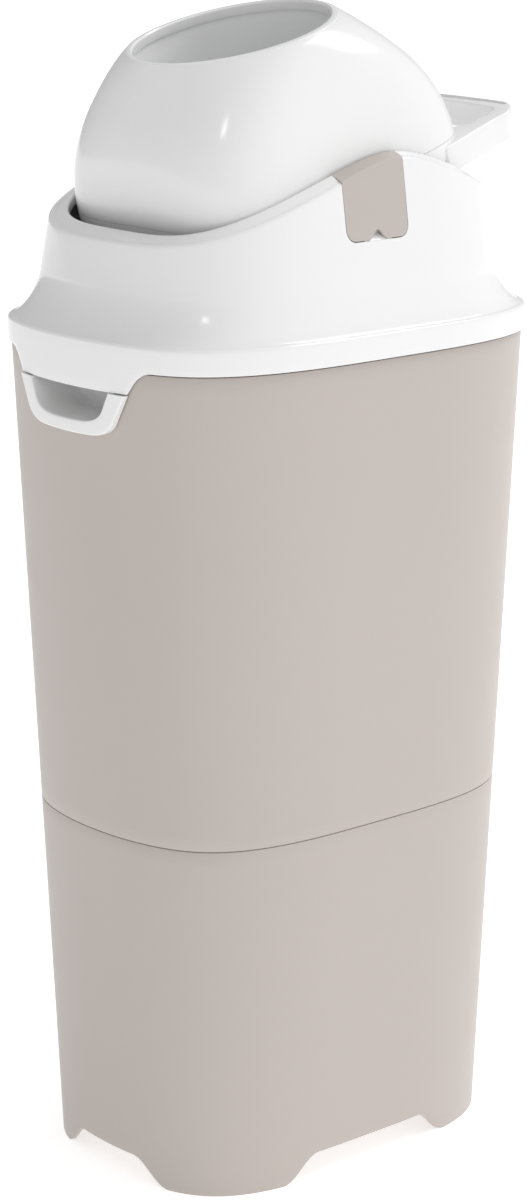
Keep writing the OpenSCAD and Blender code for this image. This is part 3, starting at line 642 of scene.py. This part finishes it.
def filletRing(turn, inset):
    # hollow curve from the flange (turn 0) up into the wall (90 degrees): it is out by 1 - sin^hollow
    # and up by 1 - cos^hollow, and the inset runs along its normal
    c, s = math.cos(turn), math.sin(turn)
    footZ = lid["flange"] + lid["fillet"]
    out = 1 - s ** lid["hollow"]
    a = lidA(footZ) + (lid["skirtA"] - lid["flangeIn"] - lidA(footZ)) * out
    b = lidB(footZ) + (lid["skirtB"] - lid["flangeIn"] - lidB(footZ)) * out
    z = lid["flange"] + lid["fillet"] * (1 - max(c, 0) ** lid["hollow"])
    return lidRing(z - inset * c, a, b, inset * s)


def lidSection():
    # rings from the skirt's lower edge up the outside to the opening, down its collar and back inside
    skirtA, skirtB, flange, wall = lid["skirtA"], lid["skirtB"], lid["flange"], lid["wall"]
    low = skirtLow(*planXY(skirtA, skirtB, body["power"], lidTh))
    side, edgeZ = low + lid["skirtEdge"], flange - lid["flangeDown"]
    rings = [lidRing(low + lid["skirtEdge"] * s, skirtA, skirtB, lid["skirtEdge"] * c)
             for c, s in roundEdge(4)[::-1]]
    rings += [lidRing(side + (edgeZ - side) * t, skirtA, skirtB, 0) for t in (0.25, 0.5, 0.75, 1)]
    rings += [lidRing(flange - lid["flangeDown"] * s, skirtA, skirtB, lid["flangeIn"] * c)
              for c, s in roundEdge(8)[1:]]
    rings += [filletRing(t, 0) for t in np.linspace(0, np.pi / 2, 20)[1:]]
    foot, crest = filletRing(np.pi / 2, 0), rimRing(lid["rimEdge"], 0)
    rings += [foot + (crest - foot) * t for t in np.linspace(0, 1, 12)[1:]]
    rings += [rimRing(lid["rimEdge"] * s, lid["rimEdge"] * c) for c, s in roundEdge(8)[1:]]

    start, end = rimRing(0, lid["rimEdge"]), browRing(0, lid["openEdge"])
    for t in np.linspace(0, 1, 9)[1:]:                  # slightly domed shoulder
        across = start + (end - start) * t
        across[:, 2] += lid["swell"] * np.sin(np.pi * t)
        rings.append(across)
    rings += [browRing(lid["openEdge"] * c, lid["openEdge"] * s) for c, s in roundEdge(7)[1:]]

    deep, thick, edge = lid["collar"], lid["collarWall"], lid["collarEdge"]
    rings += [browRing(drop, grow) for drop, grow in (
        (deep - lid["collarChamfer"], 0), (deep, edge), (deep, thick - edge),
        (deep - lid["collarChamfer"], thick), (wall + lid["underBrow"], thick))]
    rings.append(rimRing(wall + lid["underRim"], wall + lid["underBrow"]))
    rings += [filletRing(t, wall) for t in np.linspace(np.pi / 2, np.pi / 6, 7)]
    rings += [bodyRing(flange - wall, lid["seat"], lidTh),
              lidRing(flange - wall, skirtA, skirtB, lid["skirt"]),
              lidRing(low + lid["footIn"], skirtA, skirtB, lid["skirt"]),
              lidRing(low, skirtA, skirtB, lid["skirt"] - lid["footIn"])]
    return rings


def cupOutline(topHalf, lowHalf, top, low, r, steps=10):
    # trapezium with quarter circles at its lower corners, from the top left round to the top right
    t = np.linspace(0, np.pi / 2, steps)
    left = np.stack([-lowHalf + r - r * np.cos(t), low + r - r * np.sin(t)], 1)
    right = np.stack([lowHalf - r + r * np.cos(t), low + r - r * np.sin(t)], 1)[::-1]
    return np.vstack([[[-topHalf, top]], left, right, [[topHalf, top]]])


def clipWindow():
    # outline in Y and Z of the slot that a side clip fills, a gap wider than the clip all round
    half, gap = clip["wide"] / 2 + clip["gap"], clip["gap"]
    window = cupOutline(half, half - clip["draft"], clip["windowTop"], clip["low"] - gap,
                        clip["corner"] + gap, 9)
    window[:, 0] += clip["y"]
    return window


def lidArms():
    # knuckles with the arms that carry them, screw posts, and the ramp behind each fingernail notch
    h, p = hinge, post
    shells = []
    for x0, x1 in pair(h["middle"] + h["play"], h["half"] - h["play"]):
        shells += [rodShell(h["knuckle"], x0, x1, h["y"], h["z"]),
                   boxShell(x0, x1, h["y"] - h["armFront"], h["y"] + h["armBack"], h["z"],
                            lid["flange"] - h["armTop"])]
    places = [(p["frontX"], drum["pivotY"] - openB - p["frontOut"]),
              (p["backX"], drum["pivotY"] + openB + p["backOut"])]
    places += [(p["sideX"], y) for y in p["sideY"]]
    ramp = np.array(clip["ramp"]) + [float(wallX(clip["y"], clip["low"])), clip["low"]]
    for side in (-1, 1):
        shells += [postShell(p["r"], side * x, y, p["low"], float(rimZ(y)) - p["under"]) for x, y in places]
        shells.append(frontPrism(ramp * [side, 1], clip["y"] - clip["rampHalf"],
                                 clip["y"] + clip["rampHalf"]))
    return joined(*shells)


lidPiece = makeObject("lidShell", outward(loftShell(lidSection(), "loop")))
cutAway(lidPiece, [sidePrism(clipWindow(), openA - clip["windowIn"], clip["windowOut"]),
                   sidePrism(clipWindow(), -clip["windowOut"], -openA + clip["windowIn"])])
dress(lidPiece, white, "white_plastic", "lid", "lid_cover")
dress(makeObject("lidKnuckles", lidArms()), white, "white_plastic", "lid")
print("lid done")


def clipShell():
    # plate in the lid's wall with a flange over its top: an outer sheet, and the same sheet moved in.
    # The lower edge is a straight line with circle corners and a cosine notch at its middle.
    c = clip
    half = c["wide"] / 2
    q = np.sin(np.linspace(-np.pi / 2, np.pi / 2, 121))[:, None]
    d = np.abs(q) * half
    bend = np.clip(d - half + c["corner"], 0, None)
    lowZ = c["low"] + c["corner"] - np.sqrt(np.clip(c["corner"] ** 2 - bend ** 2, 0, None))
    lowZ = lowZ + c["notchHigh"] * (1 + np.cos(np.pi * np.clip(d / c["notchHalf"], 0, 1))) / 2
    y = c["y"] + q * half
    rim, brow = rimZ(y), browZ(y)
    plateZ = lowZ + (rim - c["edge"] - lowZ) * np.linspace(0, 1, 15)
    plateX = wallX(y, plateZ)
    less, drop = np.array(roundEdge(5)[1:]).T * c["edge"]
    edgeZ = rim - drop
    edgeX = wallX(y, edgeZ) - less
    t = np.linspace(0, 1, 9)[1:]
    topX = edgeX[:, -1:] + (openA + c["overlap"] - edgeX[:, -1:]) * t
    topZ = rim + (brow - rim) * t + lid["swell"] * np.sin(np.pi * t)
    outX, outZ = np.hstack([plateX, edgeX, topX]), np.hstack([plateZ, edgeZ, topZ])
    under = plateX[:, -1:] - c["thick"]
    inX = np.hstack([plateX - c["thick"], np.minimum(edgeX, under), np.minimum(topX, under)])
    inZ = np.hstack([np.minimum(plateZ, rim - c["thick"]), 0 * edgeZ + rim - c["thick"], topZ - c["thick"]])
    deep = y - c["draft"] * q * np.clip(1 - (outZ - c["low"]) / c["draftRun"], 0, 1)
    rings = np.stack([np.hstack([outX, inX[:, ::-1]]), np.hstack([deep, deep[:, ::-1]]),
                      np.hstack([outZ, inZ[:, ::-1]])], 2)
    points, faces = loftShell(rings, "open")
    k, m = rings.shape[:2]
    j = np.arange(m // 2 - 1)                           # both ends are closed from sheet to sheet
    near = np.stack([j, j + 1, m - 2 - j, m - 1 - j], -1)
    faces += [near, near[:, ::-1] + (k - 1) * m]
    return points, faces


def makeClip(side):
    # the right clip as worked out, and the left one as its mirror image
    name = "Right" if side > 0 else "Left"
    points, faces = clipShell()
    thing = makeObject("sideClip" + name, outward((points * [side, 1, 1], faces)), 30)
    softenEdges(thing, clip["soft"], 50)
    dress(thing, taupe, "taupe_plastic", "clip_%s_body" % name.lower(), "clip_" + name.lower())


makeClip(1)
makeClip(-1)
print("clips done")


def inDrum(points):
    # from the drum's own frame (across, towards the handle, up the tube) to the row frame
    t = math.radians(drum["tilt"])
    p = np.asarray(points, float)
    return np.stack([p[..., 0],
                     drum["pivotY"] + p[..., 1] * math.cos(t) - p[..., 2] * math.sin(t),
                     drum["pivotZ"] + p[..., 1] * math.sin(t) + p[..., 2] * math.cos(t)], -1)


def drumHalf(u):
    # half width at u along the tube: a superellipse from the middle's half width to the lip's radius
    n = drum["narrowing"]
    return lipR + (drum["a"] - lipR) * np.maximum(1 - (u / drum["mouth"]) ** n, 0) ** (1 / n)


def drumDeep(u):
    # an arc about the pivot that runs out in a straight line tangent to it, to the lip
    turn = math.atan(lipR / drum["mouth"]) + math.acos(drum["r"] / swingR)
    ut, vt = drum["r"] * math.cos(turn), drum["r"] * math.sin(turn)
    if u < ut:
        return math.sqrt(drum["r"] ** 2 - u * u)
    return vt + (lipR - vt) * (u - ut) / (drum["mouth"] - ut)


def drumRing(u, inset, th):
    # section at u: its power falls to 2, a circle, and its centre comes in to the axis, at the mouth
    n = 2 + (drum["power"] - 2) * (1 - (u / drum["mouth"]) ** drum["rounding"])
    yMid = drum["shift"] * (1 - (u / drum["mouth"]) ** drum["centring"])
    return ring(drumHalf(u) - inset, drumDeep(u) - inset, n, u, th, yMid)


def roundRing(r, u, th):
    # circle about the tube's axis
    return ring(r, r, 2.0, u, th)


def halfDrumShell(flip):
    # outside from the middle plane to the mouth, over the lip, down to the tube's socket, back inside
    d, mouth = drum, drum["mouth"]
    th = evenAngles(d["a"], d["r"], d["power"], d["columns"])
    socket, lipIn = d["tubeR"] + d["tubeT"] + d["socket"], d["mouthR"] - d["lipIn"]
    seat = mouth - d["tubeShort"] + d["tubeGap"]
    us = (mouth - d["lipHigh"]) * np.sin(np.linspace(0.0015, np.pi / 2, 44))
    rings = [drumRing(u, 0, th) for u in us]
    last, crest = rings[-1], roundRing(d["mouthR"], mouth, th)
    for t in np.linspace(0, np.pi / 2, 8)[1:]:          # quarter turn from the side onto the lip
        p = last + (crest - last) * (1 - math.cos(t))
        p[:, 2] = last[:, 2] + (mouth - last[:, 2]) * math.sin(t)
        rings.append(p)
    rings += [roundRing(d["mouthR"] - d["lipIn"] * c, mouth - d["lipHigh"] * c, th)
              for c, _ in roundEdge(5)[1:]]
    rings += [roundRing(lipIn, seat + d["ledge"], th), roundRing(lipIn + d["recess"], seat, th),
              roundRing(socket, seat, th), roundRing(socket, seat - d["socketDeep"], th)]
    rings = np.array(rings + [drumRing(u, d["wall"], th) for u in d["inside"]])
    if flip:
        rings[..., 2] *= -1
    points, faces = loftShell(rings, "loop")
    return outward((inDrum(points), faces))


def tubeShell():
    # open tube along the drum: the bore, and the same circle larger by the wall
    end, outR = drum["mouth"] - drum["tubeShort"], drum["tubeR"] + drum["tubeT"]
    th = np.linspace(0, 2 * np.pi, 256, endpoint=False)
    rings = [roundRing(drum["tubeR"], u, th) for u in np.linspace(-end, end, 12)]
    points, faces = loftShell(rings + [roundRing(outR, u, th) for u in (end, -end)], "loop")
    return outward((inDrum(points), faces))


upperHalf = makeObject("drumUpperShell", halfDrumShell(False))
dress(upperHalf, white, "white_plastic", "drum", "drum_upper_shell")
lowerHalf = makeObject("drumLowerShell", halfDrumShell(True))
dress(lowerHalf, white, "white_plastic", "drum", "drum_lower_shell")
tube = makeObject("throughTube", tubeShell())
dress(tube, grey, "grey_plastic", "drum", "drum_tube")

# handle: outer half width, reach from the pivot, finger opening from near to far, groove in the bar
handle = dict(half=79.0, flare=0.075, flareFrom=130.0, flareRun=48.0, reach=157.0, root=77.0, rootRound=4.0,
              cornerRound=22.0, bow=1.0, openHalf=66.0, near=111.5, far=145.6, nearRound=10.0, farRound=9.0,
              openBow=3.0, thick=17.8, lift=2.0, liftFrom=84.0, drop=2.9, edge=1.6,
              grooveIn=152.1, grooveOut=156.2, grooveDeep=5.0, grooveTop=5.0, grooveHalf=66.0,
              grooveFall=2.6, grooveTurn=0.3)


def roundedLoop(half, near, far, nearR, farR, bow):
    # closed outline, half wide to each side and from near to far; the far side bows out with x squared
    t = np.linspace(0, np.pi / 2, 14)
    along = np.linspace(-1, 1, 26)[1:-1]
    side = np.linspace(near + nearR, far - farR, 18)[1:-1]
    x = along[::-1] * (half - farR)
    right = np.vstack([
        np.stack([half - nearR + nearR * np.sin(t), near + nearR - nearR * np.cos(t)], 1),
        np.stack([np.full(len(side), half), side], 1),
        np.stack([half - farR + farR * np.cos(t), far - farR + farR * np.sin(t)], 1)])
    return np.vstack([np.stack([along * (half - nearR), np.full(len(along), near)], 1), right,
                      np.stack([x, far + bow * (1 - along ** 2)], 1), (right * [-1, 1])[::-1]])


def movedIn(loop, width):
    # a closed outline moved to its inner side by width
    along = np.roll(loop, -1, 0) - np.roll(loop, 1, 0)
    along /= np.linalg.norm(along, axis=1, keepdims=True)
    return loop + np.stack([-along[:, 1], along[:, 0]], 1) * width


def onHandle(plan, down):
    # plan points of the handle at a depth below its top plane, which rises a little towards the bar
    h = handle
    up = math.tan(math.radians(h["lift"])) * (plan[:, 1] - h["liftFrom"]) - h["drop"] - down
    return inDrum(np.column_stack([plan, up]))


def makeHandle():
    # outline and opening as one closed loft with rounded edges, and a groove cut along the bar;
    # both outlines widen towards the drum in proportion to the distance from flareFrom
    h, e, thick = handle, handle["edge"], handle["thick"]
    outer = roundedLoop(h["half"], h["root"], h["reach"], h["rootRound"], h["cornerRound"], h["bow"])
    inner = roundedLoop(h["openHalf"], h["near"], h["far"], h["nearRound"], h["farRound"], h["openBow"])
    for loop in (outer, inner):
        loop[:, 0] *= 1 + h["flare"] * np.clip((h["flareFrom"] - loop[:, 1]) / h["flareRun"], 0, 1)
    turn = roundEdge(6)
    rings = [onHandle(movedIn(outer, e * s), thick - e * c) for c, s in turn]
    rings += [onHandle(movedIn(outer, e * c), e * s) for c, s in turn]
    rings += [onHandle(movedIn(inner, -e * s), e * c) for c, s in turn]
    rings += [onHandle(movedIn(inner, -e * c), thick - e * s) for c, s in turn]
    thing = makeObject("flipHandle", outward(loftShell(rings, "loop")))
    x = np.linspace(-h["grooveHalf"], h["grooveHalf"], 41)
    fall = h["grooveFall"] * (x / h["grooveHalf"]) ** 4
    plan = np.vstack([np.column_stack([x, h["grooveIn"] - h["grooveTurn"] * fall]),
                      np.column_stack([x, h["grooveOut"] - fall])[::-1]])
    cutAway(thing, [outward(loftShell([onHandle(plan, h["grooveDeep"]), onHandle(plan, -h["grooveTop"])]))])
    dress(thing, white, "white_plastic", "drum", "handle")


makeHandle()
print("drum done")

light = dict(base=0.54, slope=0.42, towards=(0.56, 0.46, 0.52), floor=0.82, floorRough=0.8, floorShine=0.1,
             floorGlow=0.56, floorHalf=40.0, aim=(0, 0, 0.55))
lamps = dict(frontSpot=dict(place=(1.02, -2.17, 2.6), wide=0.3, high=0.45, power=4),
             highBack=dict(place=(1.0, 2.4, 3.4), wide=2.0, high=1.6, power=46))
floorMat = bpy.data.materials.new("paleFloor")
floorMat.use_nodes = True
floorShader = floorMat.node_tree.nodes["Principled BSDF"]
floorShader.inputs["Base Color"].default_value = (light["floor"],) * 3 + (1,)
floorShader.inputs["Roughness"].default_value = light["floorRough"]
floorShader.inputs["Specular IOR Level"].default_value = light["floorShine"]
floorShader.inputs["Emission Color"].default_value = (1, 1, 1, 1)
floorShader.inputs["Emission Strength"].default_value = light["floorGlow"]
floorMesh = bpy.data.meshes.new("floor")
far = light["floorHalf"]
floorMesh.from_pydata([(-far, -far, 0), (far, -far, 0), (far, far, 0), (-far, far, 0)], [], [(0, 1, 2, 3)])
floor = bpy.data.objects.new("floor", floorMesh)
floorMesh.materials.append(floorMat)
bpy.context.scene.collection.objects.link(floor)

world = bpy.data.worlds.new("softRoom")
bpy.context.scene.world = world
world.use_nodes = True
room = world.node_tree
back = room.nodes["Background"]
back.inputs["Color"].default_value = (1, 1, 1, 1)
aimed = room.nodes.new("ShaderNodeTexCoord")
side = room.nodes.new("ShaderNodeVectorMath")
side.operation = "DOT_PRODUCT"
side.inputs[1].default_value = light["towards"]
level = room.nodes.new("ShaderNodeMath")                # brightness = base + slope * (direction . towards)
level.operation = "MULTIPLY_ADD"
level.inputs[1].default_value = light["slope"]
level.inputs[2].default_value = light["base"]
level.use_clamp = False
room.links.new(aimed.outputs["Generated"], side.inputs[0])
room.links.new(side.outputs["Value"], level.inputs[0])
room.links.new(level.outputs["Value"], back.inputs["Strength"])
bpy.context.scene.view_settings.view_transform = "Standard"


def softbox(name, place, wide, high, power):
    # rectangular lamp that faces the point all lamps are aimed at
    data = bpy.data.lights.new(name, "AREA")
    data.shape, data.size, data.size_y, data.energy = "RECTANGLE", wide, high, power
    lamp = bpy.data.objects.new(name, data)
    lamp.location = place
    lamp.rotation_mode = "QUATERNION"
    lamp.rotation_quaternion = (Vector(light["aim"]) - Vector(place)).to_track_quat("-Z", "Y")
    bpy.context.scene.collection.objects.link(lamp)


for lampName, values in lamps.items():
    softbox(lampName, **values)
print("light ready")
